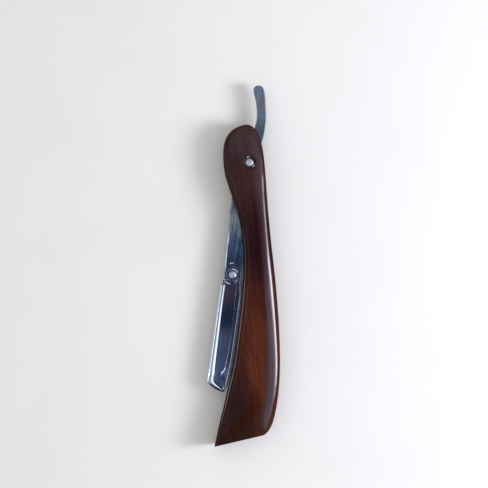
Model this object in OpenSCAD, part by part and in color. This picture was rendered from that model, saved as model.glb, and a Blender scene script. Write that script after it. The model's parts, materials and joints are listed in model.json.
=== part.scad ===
// Folding barber's razor with a wooden handle and a swing-lock holder for half of a double edge blade.
// It lies shut on its far side. +Z is up from that side, +Y runs to the tail, +X to the handle's back.
// Millimetres. The origin is the centre of the outline in plan, on the face it lies on.

/* [Handle] */
// Width across the whole curve of the handle, from the tip of the butt to the back
handle_w = 27.9; // [23:0.1:34]
// Thickness of each wooden scale
scale_t = 4; // [3.2:0.1:6]
// Height of the handle's crown above the pivot
crown_rise = 16.2; // [13:0.1:20]
// Free length between the toe of the holder and the butt spacer
toe_gap = 6.3; // [3:0.1:12]
// Length of the spacer glued between the scales at the butt
spacer_l = 16.5; // [12:0.1:24]
// Width of the round along the back edge of a scale
edge_round_w = 4.2; // [2:0.1:5]
// Depth of the round along the back edge of a scale
edge_round_d = 3.2; // [1.5:0.1:4]

/* [Tang] */
// Thickness of the tang
tang_t = 2.2; // [1.8:0.1:3]
// Width of the tang at the pivot
tang_w = 9.9; // [8:0.1:12]
// Distance from the pivot to the rivet of the blade holder
rivet_reach = 48.3; // [38:0.1:60]
// Height of the tail's tip above the pivot
tail_rise = 33.3; // [26:0.1:42]
// Thickness of the bed that the blade lies on
bed_t = 1.3; // [1:0.1:1.6]
// How far the bed shows past the lips of the cover
bed_show = 0.5; // [0.2:0.1:1]

/* [Blade holder] */
// Angle between the line of the shank and the line of the holder, in degrees
holder_turn = 0.5; // [0:0.1:1.5]
// Thickness of the folded sheet
sheet_t = 0.5; // [0.4:0.05:0.7]
// Distance from the rivet to the outside of the folded spine
spine_side = 4.65; // [4:0.05:5.6]
// Distance from the rivet to the edge of the lips
lip_side = 4.4; // [3.7:0.05:5.3]
// Width of the lips that are stepped in to hold the blade
lip_w = 1.9; // [1.2:0.1:2.4]
// Diameter of the round ears about the rivet
ear_d = 8.3; // [6.8:0.1:9.8]
// Distance from the rivet to the square heel of the spine
heel_drop = 4.7; // [4.3:0.1:5.6]
// Length of the curve at the toe
toe_drop = 3.6; // [2:0.1:5]

/* [Blade] */
// Length of the half blade
blade_l = 42.8; // [36:0.1:50]
// Width of the half blade
blade_w = 11; // [9:0.1:13]
// Thickness of the blade
blade_t = 0.1; // [0.08:0.01:0.15]
// Length of the cutting edge
edge_l = 37.5; // [30:0.1:40]
// Width of the tabs at the ends of the blade
tab_w = 7.3; // [6:0.1:9]
// Diameter of the two studs that locate the blade
stud_d = 2; // [1.6:0.1:2.4]

/* [Pins and washers] */
// Diameter of the pivot pin and of the holder rivet
pin_d = 2.4; // [2:0.1:2.8]
// Diameter of their domed heads
head_d = 3.5; // [3:0.1:4.1]
// Height of the domed heads
head_h = 0.65; // [0.5:0.05:0.8]
// Diameter of the washers under the heads
washer_d = 5.3; // [4.5:0.1:6.2]
// Thickness of all washers
washer_t = 0.35; // [0.25:0.05:0.5]
// Diameter of the washers between the tang and the scales
thrust_d = 7; // [5.8:0.1:8.4]

/* [Clearances] */
// Radial play of a pin in a piece that turns on it
hinge_gap = 0.05; // [0.02:0.01:0.08]
// Radial play of a pin in a piece that doesn't turn on it
fit_gap = 0.02; // [0.01:0.01:0.04]
// Play between flat faces that slide past each other
side_gap = 0.1; // [0.06:0.01:0.15]
// Play between a blade and what it lies against
blade_gap = 0.02; // [0.01:0.01:0.04]
// Distance between the ears and the scales when the razor is shut
stop_gap = 0.25; // [0.15:0.05:0.5]

/* [Hidden] */

$fn = 64;
// Number of straight pieces between two points of a smooth outline
curve_steps = 3;
// Number of steps in the round of an edge
round_steps = 5;
// How far a cutting shape runs past the face that it cuts
overrun = 0.5;

// Levels, measured from the middle plane of the slot
slot_half = tang_t / 2 + side_gap + washer_t;
mid_z = scale_t + slot_half;
ear_in = tang_t / 2 + 1.5 * side_gap;
ear_out = ear_in + sheet_t;
bed_top = bed_t / 2;
blade_top = bed_top + blade_gap + blade_t;
stud_top = blade_top + side_gap;
lip_in = stud_top + side_gap;
lip_out = lip_in + sheet_t;
recess_d = washer_t + head_h + side_gap;

// Holder, measured from its rivet with the holder hanging straight down
neck_drop = pin_d / 2 + 3.4 * sheet_t;
blade_drop = neck_drop + 1.5 * side_gap;
toe_base = blade_drop + blade_l + 2 * side_gap;
cover_w = spine_side + lip_side;
fold_in_r = ear_in;
fold_x = ear_out - spine_side;
blade_back = fold_x - sqrt(fold_in_r * fold_in_r - blade_top * blade_top) + side_gap;
bed_front = lip_side + bed_show;
bend_x = lip_side - lip_w;
bend_run = ear_in - lip_in;

// Blade
stud_x = blade_back + 0.7 * stud_d;
stud_shares = [0.18, 0.82];
slot_share = 0.7;
slot_depth = 0.45 * stud_d;
end_l = (blade_l - edge_l) / 2;

// Handle
handle_l = crown_rise + rivet_reach + toe_base + toe_drop + toe_gap + spacer_l;

// Stations down the handle from its crown to its butt: share of its length, then the places of its
// front and back edges as shares of its width
handle_shares = [
    [0, -0.04, -0.04], [0.01, -0.205, 0.07], [0.03, -0.32, 0.137], [0.06, -0.385, 0.187],
    [0.10, -0.40, 0.22], [0.15, -0.377, 0.244], [0.20, -0.305, 0.262], [0.24, -0.237, 0.276],
    [0.28, -0.172, 0.291], [0.33, -0.122, 0.314], [0.38, -0.098, 0.34], [0.43, -0.093, 0.368],
    [0.48, -0.10, 0.395], [0.54, -0.12, 0.422], [0.61, -0.158, 0.447], [0.68, -0.20, 0.463],
    [0.75, -0.253, 0.467], [0.82, -0.33, 0.45], [0.88, -0.397, 0.41], [0.93, -0.457, 0.348],
    [0.96, -0.49, 0.25], [0.97, -0.50, 0.10], [0.985, -0.515, -0.215], [1, -0.53, -0.53]
];
// Width of the edge round at shares of the length, front and back, as a share of the round at the back
front_round_shares = [[0, 0.5], [0.1, 0.6], [0.3, 0.55], [0.5, 0.6], [0.9, 0.5], [1, 0.15]];
back_round_shares = [[0, 0.5], [0.15, 0.55], [0.45, 0.95], [0.8, 1], [0.9, 0.75], [0.97, 0.25], [1, 0.15]];

// Shut, the ears of the cover rest against the front edges of the scales, which sets the arm's lean
rivet_share = (crown_rise + rivet_reach) / handle_l;
front_edge_shares = [for (station = handle_shares) [station[0], station[1]]];
front_at_rivet = -handle_w * lookup(rivet_share, front_edge_shares);
arm_lean = asin((front_at_rivet + stop_gap + ear_d / 2) / rivet_reach);

// Width of the neck of the tang at the rivet, on its spine side and on its edge side
neck_spine = sheet_t - fold_x;
neck_front = ear_d / 2 - sheet_t;

// Edge side of the tang from the rivet up to the pivot: share of its width, share of the reach
shank_front_shares = [[0.405, 0.8], [0.41, 0.6], [0.40, 0.35], [0.39, 0.1]];
// Tail from its edge side round the tip to its spine side: share of the width, share of the rise
tail_shares = [
    [0.41, 0.22], [0.455, 0.38], [0.465, 0.52], [0.405, 0.66], [0.325, 0.78], [0.245, 0.88],
    [0.15, 0.955], [0.06, 0.99], [-0.07, 1], [-0.19, 0.992], [-0.275, 0.968], [-0.29, 0.93],
    [-0.24, 0.88], [-0.17, 0.83], [-0.09, 0.76], [-0.01, 0.66], [0.03, 0.56], [-0.01, 0.44],
    [-0.17, 0.33], [-0.42, 0.23], [-0.57, 0.1]
];
// Spine side of the tang from the pivot down to the rivet
shank_spine_shares = [
    [-0.6, 0.04], [-0.57, 0.2], [-0.54, 0.37], [-0.525, 0.48], [-0.485, 0.58],
    [-0.452, 0.69], [-0.41, 0.79], [-0.365, 0.9]
];
// Toe of the holder from the spine to the lips: share of the width, share of the toe's length
toe_shares = [
    [0, -0.3], [0.03, 0.02], [0.12, 0.3], [0.25, 0.56], [0.4, 0.8], [0.56, 0.95], [0.72, 1],
    [0.83, 0.86], [0.90, 0.5], [0.94, -0.1], [0.97, -1], [0.99, -2], [1, -3.2]
];

// One point of a smooth curve between b and c, at the share s of the way
function between(a, b, c, d, s) =
    (2 * b + (c - a) * s + (2 * a - 5 * b + 4 * c - d) * s * s + (3 * b - a - 3 * c + d) * s * s * s) / 2;

// A smooth open curve through all the points given
function smooth(points, drop_last = 0) =
    let (n = len(points))
    [
        for (i = [0 : n - 2])
        let (a = i > 0 ? points[i - 1] : 2 * points[0] - points[1])
        let (d = i < n - 2 ? points[i + 2] : 2 * points[n - 1] - points[n - 2])
        for (s = [0 : curve_steps - 1])
        between(a, points[i], points[i + 1], d, s / curve_steps),
        if (drop_last == 0) points[n - 1]
    ];

function reversed(points) = [for (i = [len(points) - 1 : -1 : 0]) points[i]];
function turned(p, angle) = [p[0] * cos(angle) - p[1] * sin(angle), p[0] * sin(angle) + p[1] * cos(angle)];

// A point on one edge of the handle with the width of the edge round there, measured from the pivot
function handle_point(station, edge, rounds) = [
    handle_w * station[edge], crown_rise - handle_l * station[0], edge_round_w * lookup(station[0], rounds)
];

// The outline runs clockwise from the tip of the butt, which stays sharp, up to the crown and back
crown_at = (len(handle_shares) - 1) * curve_steps;
handle_outline = smooth(concat(
    [for (station = reversed(handle_shares)) handle_point(station, 1, front_round_shares)],
    [for (i = [1 : len(handle_shares) - 1]) handle_point(handle_shares[i], 2, back_round_shares)]
), 1);
handle_plan = [for (p = handle_outline) [p[0], p[1]]];

tang_outline = concat(
    smooth(concat(
        [[neck_front, -rivet_reach]],
        [for (p = shank_front_shares) [p[0] * tang_w, -p[1] * rivet_reach]],
        [for (p = tail_shares) [p[0] * tang_w, p[1] * tail_rise]],
        [for (p = shank_spine_shares) [p[0] * tang_w, -p[1] * rivet_reach]],
        [[-neck_spine, -rivet_reach]]
    )),
    [[-neck_spine, -rivet_reach - neck_drop], [neck_front, -rivet_reach - neck_drop]]
);

// The toe's curve across a width that starts at back_x, with its base at base_y
function toe_curve(back_x, width, base_y) =
    smooth([for (p = toe_shares) [back_x + width * p[0], base_y - toe_drop * p[1]]]);

cover_plan = concat(
    [[-spine_side, -heel_drop]],
    toe_curve(-spine_side, cover_w, -toe_base),
    [[lip_side, -heel_drop]]
);

// Extent of the shut razor about its pivot, which gives the place of the origin
tang_at_rest = [for (p = tang_outline) turned(p, -arm_lean)];
cover_at_rest = [for (p = cover_plan) turned(turned(p, holder_turn) - [0, rivet_reach], -arm_lean)];
all_at_rest = concat(handle_plan, tang_at_rest, cover_at_rest);
low_x = min([for (p = all_at_rest) p[0]]);
high_x = max([for (p = all_at_rest) p[0]]);
low_y = min([for (p = all_at_rest) p[1]]);
high_y = max([for (p = all_at_rest) p[1]]);
pivot_x = -(low_x + high_x) / 2;
pivot_y = -(low_y + high_y) / 2;

echo(handle_length = handle_l, arm_lean = arm_lean, pivot = [pivot_x, pivot_y, mid_z]);
echo(size = [high_x - low_x, high_y - low_y, 2 * mid_z]);

// Placement

module at_pivot() {
    translate([pivot_x, pivot_y, mid_z]) children();
}

module at_arm() {
    at_pivot() rotate([0, 0, -arm_lean]) children();
}

module at_holder() {
    at_arm() translate([0, -rivet_reach, 0]) rotate([0, 0, holder_turn]) children();
}

// The same shape on the near side, or turned over for the far side
module on_side(side) {
    mirror([0, 0, side < 0 ? 1 : 0]) children();
}

// Shapes used more than once

module bore(diameter, gap, height) {
    cylinder(d = diameter + 2 * gap, h = height + 2 * overrun, center = true);
}

module washer(outside) {
    difference() {
        cylinder(d = outside, h = washer_t);
        translate([0, 0, washer_t / 2]) bore(pin_d, fit_gap, washer_t);
    }
}

// A pin whose two heads sit on faces at the distance seat from its middle
module headed_pin(seat) {
    rim_share = 0.35;
    head = [
        for (i = [0 : round_steps])
        let (angle = 90 * i / round_steps)
        [head_d / 2 * cos(angle), seat + head_h * (rim_share + (1 - rim_share) * sin(angle))]
    ];
    half = concat([[pin_d / 2, seat], [head_d / 2, seat]], head);
    rotate_extrude() polygon(concat(half, [for (p = reversed(half)) [p[0], -p[1]]]));
}

// Handle

// Triangles across the outline, like the rungs of a ladder between the front and the back edge
function rungs(n) = [
    for (k = [0 : crown_at - 1])
    let (front = crown_at - k)
    let (back = (crown_at + k) % n)
    for (rung = [[front, back, (back + 1) % n], [front, (back + 1) % n, front - 1]])
    if (rung[0] != rung[1] && rung[1] != rung[2])
    rung
];

// One scale with its inner face down at zero, its outer edges rounded to a different width all round
module scale_blank() {
    n = len(handle_outline);
    depth_limit_share = 0.85;
    inward = [
        for (i = [0 : n - 1])
        let (way = handle_plan[(i + 1) % n] - handle_plan[(i + n - 1) % n])
        [way[1], -way[0]] / norm(way)
    ];
    depth = [
        for (p = handle_outline)
        min(edge_round_d, scale_t * depth_limit_share) * sqrt(min(1, p[2] / edge_round_w))
    ];
    rings = concat(
        [[for (p = handle_plan) [p[0], p[1], 0]]],
        [
            for (k = [0 : round_steps])
            let (angle = 90 * k / round_steps)
            [
                for (i = [0 : n - 1])
                let (at = handle_plan[i] + inward[i] * handle_outline[i][2] * (1 - cos(angle)))
                [at[0], at[1], scale_t - depth[i] * (1 - sin(angle))]
            ]
        ]
    );
    walls = [
        for (k = [0 : len(rings) - 2])
        for (i = [0 : n - 1])
        let (j = (i + 1) % n)
        for (face = [
            [k * n + i, k * n + j, (k + 1) * n + j],
            [k * n + i, (k + 1) * n + j, (k + 1) * n + i]
        ])
        face
    ];
    outer_face = [for (rung = rungs(n)) [for (i = rung) (len(rings) - 1) * n + i]];
    inner_face = [for (rung = rungs(n)) reversed(rung)];
    polyhedron([for (ring = rings) for (p = ring) p], concat(inner_face, walls, outer_face));
}

module scale_side(side) {
    at_pivot() on_side(side) translate([0, 0, slot_half]) difference() {
        scale_blank();
        translate([0, 0, scale_t / 2]) bore(pin_d, fit_gap, scale_t);
        translate([0, 0, scale_t - recess_d]) cylinder(d = washer_d + 2 * side_gap, h = recess_d + overrun);
    }
}

module near_scale() {
    color("#4a130c") scale_side(1);
}

module far_scale() {
    color("#4a130c") scale_side(-1);
}

// The spacer fills the slot at the butt, and its inner end is scooped clear of the toe
module butt_spacer() {
    scoop_d = handle_w;
    tip_y = crown_rise - handle_l;
    scoop_share = 0.12;
    color("#3a0e09") at_pivot() linear_extrude(height = 2 * slot_half, center = true) difference() {
        polygon(handle_plan);
        translate([-handle_w, tip_y + spacer_l]) square([2 * handle_w, handle_l]);
        translate([0, tip_y + spacer_l + scoop_d * (0.5 - scoop_share)]) circle(d = scoop_d);
    }
}

module pivot_pin() {
    color("#c4c8cc") at_pivot() headed_pin(mid_z - recess_d + washer_t);
}

module pivot_washer(side) {
    color("#9aa0a6") at_pivot() on_side(side) translate([0, 0, mid_z - recess_d]) washer(washer_d);
}

module near_pivot_washer() {
    pivot_washer(1);
}

module far_pivot_washer() {
    pivot_washer(-1);
}

module thrust_washer(side) {
    color("#b08d4f") at_pivot() on_side(side) translate([0, 0, slot_half - washer_t]) washer(thrust_d);
}

module near_thrust_washer() {
    thrust_washer(1);
}

module far_thrust_washer() {
    thrust_washer(-1);
}

// Tang

// The thin bed under the blade, drilled for its studs
module bed() {
    difference() {
        linear_extrude(height = bed_t, center = true) polygon(concat(
            [[blade_back, -neck_drop / 2]],
            toe_curve(blade_back, bed_front - blade_back, side_gap - toe_base),
            [[bed_front, -heel_drop], [neck_front, -neck_drop / 2]]
        ));
        at_studs() bore(stud_d, fit_gap, bed_t);
    }
}

module at_studs() {
    for (share = stud_shares) translate([stud_x, -blade_drop - blade_l * share, 0]) children();
}

module tang() {
    color("#8c9299") difference() {
        union() {
            at_arm() linear_extrude(height = tang_t, center = true) polygon(tang_outline);
            at_holder() bed();
        }
        at_arm() bore(pin_d, hinge_gap, tang_t);
        at_holder() bore(pin_d, fit_gap, tang_t);
    }
}

module blade_studs() {
    color("#a8adb3") at_holder() at_studs() translate([0, 0, -bed_top]) cylinder(d = stud_d, h = bed_top + stud_top);
}

module holder_rivet() {
    color("#c4c8cc") at_holder() headed_pin(ear_out + side_gap / 2 + washer_t);
}

module rivet_washer(side) {
    color("#9aa0a6") at_holder() on_side(side) translate([0, 0, ear_out + side_gap / 2]) washer(washer_d);
}

module near_rivet_washer() {
    rivet_washer(1);
}

module far_rivet_washer() {
    rivet_washer(-1);
}

// Cover

// Half of the folded sheet's section: lip, step, flat side, and a quarter of the round spine
module half_section() {
    quarter = [for (i = [0 : 4 * round_steps]) 90 + 90 * i / (4 * round_steps)];
    polygon(concat(
        [[lip_side, lip_in], [lip_side, lip_out], [bend_x + bend_run, lip_out], [bend_x, ear_out]],
        [for (angle = quarter) [fold_x + ear_out * cos(angle), ear_out * sin(angle)]],
        [for (angle = reversed(quarter)) [fold_x + fold_in_r * cos(angle), fold_in_r * sin(angle)]],
        [[bend_x, ear_in], [bend_x + bend_run, lip_in]]
    ));
}

module folded_sheet() {
    translate([0, -heel_drop, 0]) rotate([90, 0, 0]) linear_extrude(height = toe_base + toe_drop) {
        half_section();
        mirror([0, 1]) half_section();
    }
}

// The flat ear on one side, which carries the flat side of the cover up round the rivet
module ear() {
    root = heel_drop + sheet_t;
    translate([0, 0, ear_in]) linear_extrude(height = sheet_t) {
        circle(d = ear_d);
        translate([fold_x, -root]) square([ear_d / 2 - fold_x, root]);
    }
}

module holder_cover() {
    color("#b9bec6") at_holder() difference() {
        union() {
            intersection() {
                folded_sheet();
                linear_extrude(height = 2 * ear_out + 2 * overrun, center = true) polygon(cover_plan);
            }
            ear();
            on_side(-1) ear();
        }
        bore(pin_d, hinge_gap, 2 * ear_out);
    }
}

// Blade

// Half of a blade snapped along its middle, so its back edge has half of the slot, opened round the studs
module half_blade() {
    notch_d = stud_d + 2 * side_gap;
    color("#dfe3e8") at_holder() translate([0, 0, bed_top + blade_gap]) linear_extrude(height = blade_t) difference() {
        union() {
            translate([blade_back, -blade_drop - blade_l]) square([tab_w, blade_l]);
            translate([blade_back, -blade_drop - blade_l + end_l]) square([blade_w, edge_l]);
        }
        translate([blade_back - overrun, -blade_drop - blade_l * (1 + slot_share) / 2])
            square([slot_depth + overrun, blade_l * slot_share]);
        at_studs() {
            circle(d = notch_d);
            translate([-notch_d, -notch_d / 2]) square([notch_d, notch_d]);
        }
    }
}

near_scale();
far_scale();
butt_spacer();
pivot_pin();
near_pivot_washer();
far_pivot_washer();
near_thrust_washer();
far_thrust_washer();
tang();
blade_studs();
holder_rivet();
near_rivet_washer();
far_rivet_washer();
holder_cover();
half_blade();
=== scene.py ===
import json
from math import atan2, cos, pi, radians, sin, sqrt
import bpy
import bmesh
from mathutils import Matrix, Vector


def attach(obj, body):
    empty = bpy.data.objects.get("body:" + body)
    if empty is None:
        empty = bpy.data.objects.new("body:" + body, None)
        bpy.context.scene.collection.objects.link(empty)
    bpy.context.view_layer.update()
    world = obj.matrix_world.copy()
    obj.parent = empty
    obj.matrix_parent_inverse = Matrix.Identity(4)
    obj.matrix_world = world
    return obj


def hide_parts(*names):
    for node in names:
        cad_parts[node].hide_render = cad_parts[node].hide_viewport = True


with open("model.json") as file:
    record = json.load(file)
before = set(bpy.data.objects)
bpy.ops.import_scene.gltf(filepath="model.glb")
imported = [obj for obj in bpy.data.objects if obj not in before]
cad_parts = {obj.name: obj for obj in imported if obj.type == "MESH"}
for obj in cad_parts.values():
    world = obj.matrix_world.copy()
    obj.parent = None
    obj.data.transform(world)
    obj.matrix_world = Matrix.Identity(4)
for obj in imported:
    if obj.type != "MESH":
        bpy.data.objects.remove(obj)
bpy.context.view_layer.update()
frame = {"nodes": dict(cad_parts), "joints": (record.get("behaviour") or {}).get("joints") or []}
cadNodes = frame["nodes"]
joints = {joint["name"]: joint for joint in frame["joints"]}
scene = bpy.context.scene
mm = 0.001
inMetres = Matrix.Diagonal((mm, mm, mm, 1))
holeSteps = 48
thinSlope = 0.02  # least width of the slope beside a plate's rim
polishWide = 0.3  # a slope wider than that by this carries the full painted highlight
polishTilt = 0.185  # slope of the polished edges, which catch the light on the left

# Places of the moving parts, read from the frame's own joints
pivotAt = Vector(joints["tang_swing"]["pos_m"])
rivetAt = Vector(joints["cover_swing"]["pos_m"])
slideWay = Vector(joints["blade_slide"]["axis"])
armWay = pivotAt - rivetAt
armTurn = atan2(-armWay.x, armWay.y)
holderTurn = atan2(slideWay.y, slideWay.x)
atPivot = Matrix.Translation(pivotAt)
atArm = atPivot @ Matrix.Rotation(armTurn, 4, "Z")
atHolder = Matrix.Translation(rivetAt) @ Matrix.Rotation(holderTurn, 4, "Z")
turnedOver = Matrix.Diagonal((1, 1, -1, 1))
print("frame loaded:", ", ".join(sorted(cadNodes)))


# Curves and rings, in millimetres

def smoothRow(points, steps):  # a smooth open row through all the points
    points = [Vector(p) for p in points]
    row = []
    for i in range(len(points) - 1):
        a = points[i - 1] if i else 2 * points[0] - points[1]
        b, c = points[i], points[i + 1]
        d = points[i + 2] if i + 2 < len(points) else 2 * c - b
        for k in range(steps):
            s = k / steps
            row.append((2 * b + (c - a) * s + (2 * a - 5 * b + 4 * c - d) * s * s
                        + (3 * b - a - 3 * c + d) * s ** 3) / 2)
    return row + [points[-1]]


def alongTable(table, at):  # straight-line reading of a two-column table
    if at <= table[0][0]:
        return table[0][1]
    for (x0, y0), (x1, y1) in zip(table, table[1:]):
        if at <= x1:
            return y0 + (y1 - y0) * (at - x0) / (x1 - x0)
    return table[-1][1]


def inwardWays(row, closed=True):  # unit normals in the plane, pointing into the outline
    count = len(row)
    turning = sum(row[i - 1].x * row[i].y - row[i].x * row[i - 1].y for i in range(count))
    side = 1 if turning > 0 else -1
    ways = []
    for i in range(count):
        before = row[i - 1] if closed or i else row[i]
        after = row[(i + 1) % count] if closed or i + 1 < count else row[i]
        way = after - before
        ways.append(Vector((-way.y, way.x)).normalized() * side)
    return ways


def startRing(bm, places, closed=True):
    ring = [bm.verts.new(p) for p in places]
    for i in range(0 if closed else 1, len(ring)):
        bm.edges.new((ring[i - 1], ring[i]))
    return ring


def ringEdges(bm, ring, closed=True):
    return [bm.edges.get((ring[i - 1], ring[i])) for i in range(0 if closed else 1, len(ring))]


def nextRing(bm, ring, places, closed=True):  # extrudes a ring's edges and moves the new ring into place
    made = bmesh.ops.extrude_edge_only(bm, edges=ringEdges(bm, ring, closed))["geom"]
    fresh = {g for g in made if isinstance(g, bmesh.types.BMVert)}
    outer = []
    for vert, place in zip(ring, places):
        twin = next(e.other_vert(vert) for e in vert.link_edges if e.other_vert(vert) in fresh)
        twin.co = place
        outer.append(twin)
    return outer


def circleRow(radius, count, centre=(0, 0)):
    turns = [2 * pi * k / count for k in range(count)]
    return [Vector((centre[0] + radius * cos(a), centre[1] + radius * sin(a))) for a in turns]


def wholeOf(bm):
    return bm.verts[:] + bm.edges[:] + bm.faces[:]


def mirrorDown(bm):  # adds the half below the middle plane
    bmesh.ops.mirror(bm, geom=wholeOf(bm), merge_dist=0.001, axis="Z")


def mergeClose(bm):
    bmesh.ops.remove_doubles(bm, verts=bm.verts, dist=0.0005)


def raisePlate(outline, half, rimWide, rimDeep, steps, holes=(), slopes=None):
    bm = bmesh.new()  # a flat plate with its rims rounded over, and a polished slope inside some of them, which carries a painted highlight
    polishAndSheen = bm.verts.layers.float.new("polishAndSheen")
    caps = []
    for row, isHole in [(outline, False)] + [(hole, True) for hole in holes]:
        ways = inwardWays(row)
        if isHole:
            ways = [-w for w in ways]
        sloped = slopes and not isHole
        wide = slopes if sloped else [0] * len(row)
        ring = startRing(bm, [(p.x, p.y, 0) for p in row])
        for k in range(steps + 1):
            turn = radians(90 * k / steps)
            inset, drop = rimWide * (1 - cos(turn)), rimDeep * (1 - sin(turn))
            ring = nextRing(bm, ring, [(p.x + w.x * inset, p.y + w.y * inset, half - drop - polishTilt * s)
                                       for p, w, s in zip(row, ways, wide)])
        if sloped:
            # painted highlight on the slope, stronger where the slope is wider
            for vert, s in zip(ring, wide):
                vert[polishAndSheen] = min(1, (s - min(wide)) / polishWide)
            for inner in (0, thinSlope):
                insets = [rimWide + s + inner for s in wide]
                ring = nextRing(bm, ring, [(p.x + w.x * inset, p.y + w.y * inset, half)
                                           for p, w, inset in zip(row, ways, insets)])
            for vert in ring:
                vert[polishAndSheen] = 0
        caps += ringEdges(bm, ring)
    bmesh.ops.triangle_fill(bm, use_beauty=True, edges=caps, normal=(0, 0, 1))
    mirrorDown(bm)
    mergeClose(bm)
    return bm


def turnProfile(profile, steps=64):  # a profile of (radius, height) spun round Z
    bm = bmesh.new()
    row = startRing(bm, [(r, 0, z) for r, z in profile], closed=False)
    bmesh.ops.spin(bm, geom=row + ringEdges(bm, row, False), cent=(0, 0, 0), axis=(0, 0, 1),
                   angle=2 * pi, steps=steps, use_merge=True)
    mergeClose(bm)
    return bm


def markRims(bm, sharpAngle, fullBend=30):  # smooth faces, sharp folds, and values that the materials read
    rim = bm.verts.layers.float.new("rim")
    flank = bm.verts.layers.float.new("flank")
    front = bm.verts.layers.float.new("front")
    bm.normal_update()
    for face in bm.faces:
        face.smooth = True
    for vert in bm.verts:
        vert[flank] = 1 - abs(vert.normal.z)
        vert[front] = max(0, -vert.normal.x)
    for edge in bm.edges:
        bend = edge.calc_face_angle(0)
        edge.smooth = bend < radians(sharpAngle)
        for vert in edge.verts:
            vert[rim] = max(vert[rim], min(1, bend / radians(fullBend)))


def toMesh(name, bm, place, sharpAngle=38, closed=True):
    bm.transform(place @ inMetres)
    if closed:
        bmesh.ops.recalc_face_normals(bm, faces=bm.faces)
    markRims(bm, sharpAngle)
    mesh = bpy.data.meshes.new(name)
    bm.to_mesh(mesh)
    bm.free()
    return mesh


def evenNormals(piece):
    settle = piece.modifiers.new("EvenNormals", "WEIGHTED_NORMAL")
    settle.keep_sharp = True


def showPiece(name, mesh, material, body, replaced):
    mesh.materials.clear()
    mesh.materials.append(material)
    piece = bpy.data.objects.new(name, mesh)
    scene.collection.objects.link(piece)
    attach(piece, body)
    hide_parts(*replaced)
    evenNormals(piece)
    print("piece made:", name, len(mesh.polygons), "faces")
    return piece


def joinInto(bm, other):
    spare = bpy.data.meshes.new("spare")
    other.to_mesh(spare)
    other.free()
    bm.from_mesh(spare)
    bpy.data.meshes.remove(spare)


def solidObject(name, bm):
    bmesh.ops.recalc_face_normals(bm, faces=bm.faces)
    solid = bpy.data.objects.new(name, bpy.data.meshes.new(name))
    bm.to_mesh(solid.data)
    bm.free()
    scene.collection.objects.link(solid)
    return solid


def carve(name, bm, cutter):  # takes the cutter out of the solid, still in millimetres
    body = solidObject(name, bm)
    tool = solidObject(name + "Tool", cutter)
    cut = body.modifiers.new("Cut", "BOOLEAN")
    cut.operation, cut.solver, cut.object = "DIFFERENCE", "EXACT", tool
    bpy.context.view_layer.update()
    graph = bpy.context.evaluated_depsgraph_get()
    carved = bpy.data.meshes.new_from_object(body.evaluated_get(graph))
    for spent in (body, tool):
        bpy.data.objects.remove(spent)
    result = bmesh.new()
    result.from_mesh(carved)
    bpy.data.meshes.remove(carved)
    return result


# Shader nodes

def feed(tree, node, inputs):  # links each input to a socket, or sets its value
    for key, value in inputs.items():
        if isinstance(value, bpy.types.NodeSocket):
            tree.links.new(value, node.inputs[key])
        else:
            node.inputs[key].default_value = value


def addNode(tree, kind, settings=None, inputs=None):
    node = tree.nodes.new(kind)
    for key, value in (settings or {}).items():
        setattr(node, key, value)
    feed(tree, node, inputs or {})
    return node


def spread(tree, value, low, high, lowOut=0.0, highOut=1.0, smooth=True):  # a clamped map range
    kind = "SMOOTHSTEP" if smooth else "LINEAR"
    return addNode(tree, "ShaderNodeMapRange", {"interpolation_type": kind}, {
        "Value": value, "From Min": low, "From Max": high, "To Min": lowOut,
        "To Max": highOut}).outputs["Result"]


def sums(tree, kind, a, b=0):
    return addNode(tree, "ShaderNodeMath", {"operation": kind}, {0: a, 1: b}).outputs[0]


def times(tree, product, *others):
    for other in others:
        product = sums(tree, "MULTIPLY", product, other)
    return product


def window(tree, value, rise, fall):  # 1 between the rise and the fall
    return times(tree, spread(tree, value, *rise), spread(tree, value, *fall))


def vectorSum(tree, kind, a, b=(0, 0, 0), out="Vector"):
    return addNode(tree, "ShaderNodeVectorMath", {"operation": kind}, {0: a, 1: b}).outputs[out]


def splitPlace(tree, place):
    return addNode(tree, "ShaderNodeSeparateXYZ", None, {"Vector": place}).outputs


def objectPlace(tree):
    return addNode(tree, "ShaderNodeTexCoord").outputs["Object"]


def readAttribute(tree, name):
    return addNode(tree, "ShaderNodeAttribute", {"attribute_name": name}).outputs["Fac"]


def noise(tree, place, scale, detail, roughness=0.5, waver=0.0):
    return addNode(tree, "ShaderNodeTexNoise", None, {
        "Vector": place, "Scale": scale, "Detail": detail, "Roughness": roughness,
        "Distortion": waver}).outputs["Fac"]


def bumpFrom(tree, height, strength, distance):
    return addNode(tree, "ShaderNodeBump", None, {
        "Strength": strength, "Distance": distance, "Height": height}).outputs["Normal"]


def blendColour(tree, share, a, b, mode="MIX"):
    return addNode(tree, "ShaderNodeMix", {"data_type": "RGBA", "blend_type": mode},
                   {0: share, 6: a, 7: b}).outputs[2]


def shadeBy(tree, colour, value):  # multiplies a colour by one value
    grey = addNode(tree, "ShaderNodeCombineColor", None, {"Red": value, "Green": value, "Blue": value})
    return blendColour(tree, 1.0, colour, grey.outputs[0], "MULTIPLY")


def paint(code):  # a screen colour code as linear light
    parts = [int(code[i:i + 2], 16) / 255 for i in (1, 3, 5)]
    return tuple(c / 12.92 if c <= 0.04045 else ((c + 0.055) / 1.055) ** 2.4 for c in parts) + (1,)


def readRow(tree, value, table):  # a colour ramp from a table of places and colours
    first, last = table[0][0], table[-1][0]
    ramp = addNode(tree, "ShaderNodeValToRGB", None, {"Fac": spread(tree, value, first, last, smooth=False)})
    stops = ramp.color_ramp.elements
    while len(stops) < len(table):
        stops.new(0.5)
    for stop, (at, colour) in zip(stops, table):
        stop.position = (at - first) / (last - first)
        stop.color = paint(colour) if isinstance(colour, str) else colour + (1,)
    return ramp.outputs["Color"]


# Shader groups

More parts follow.
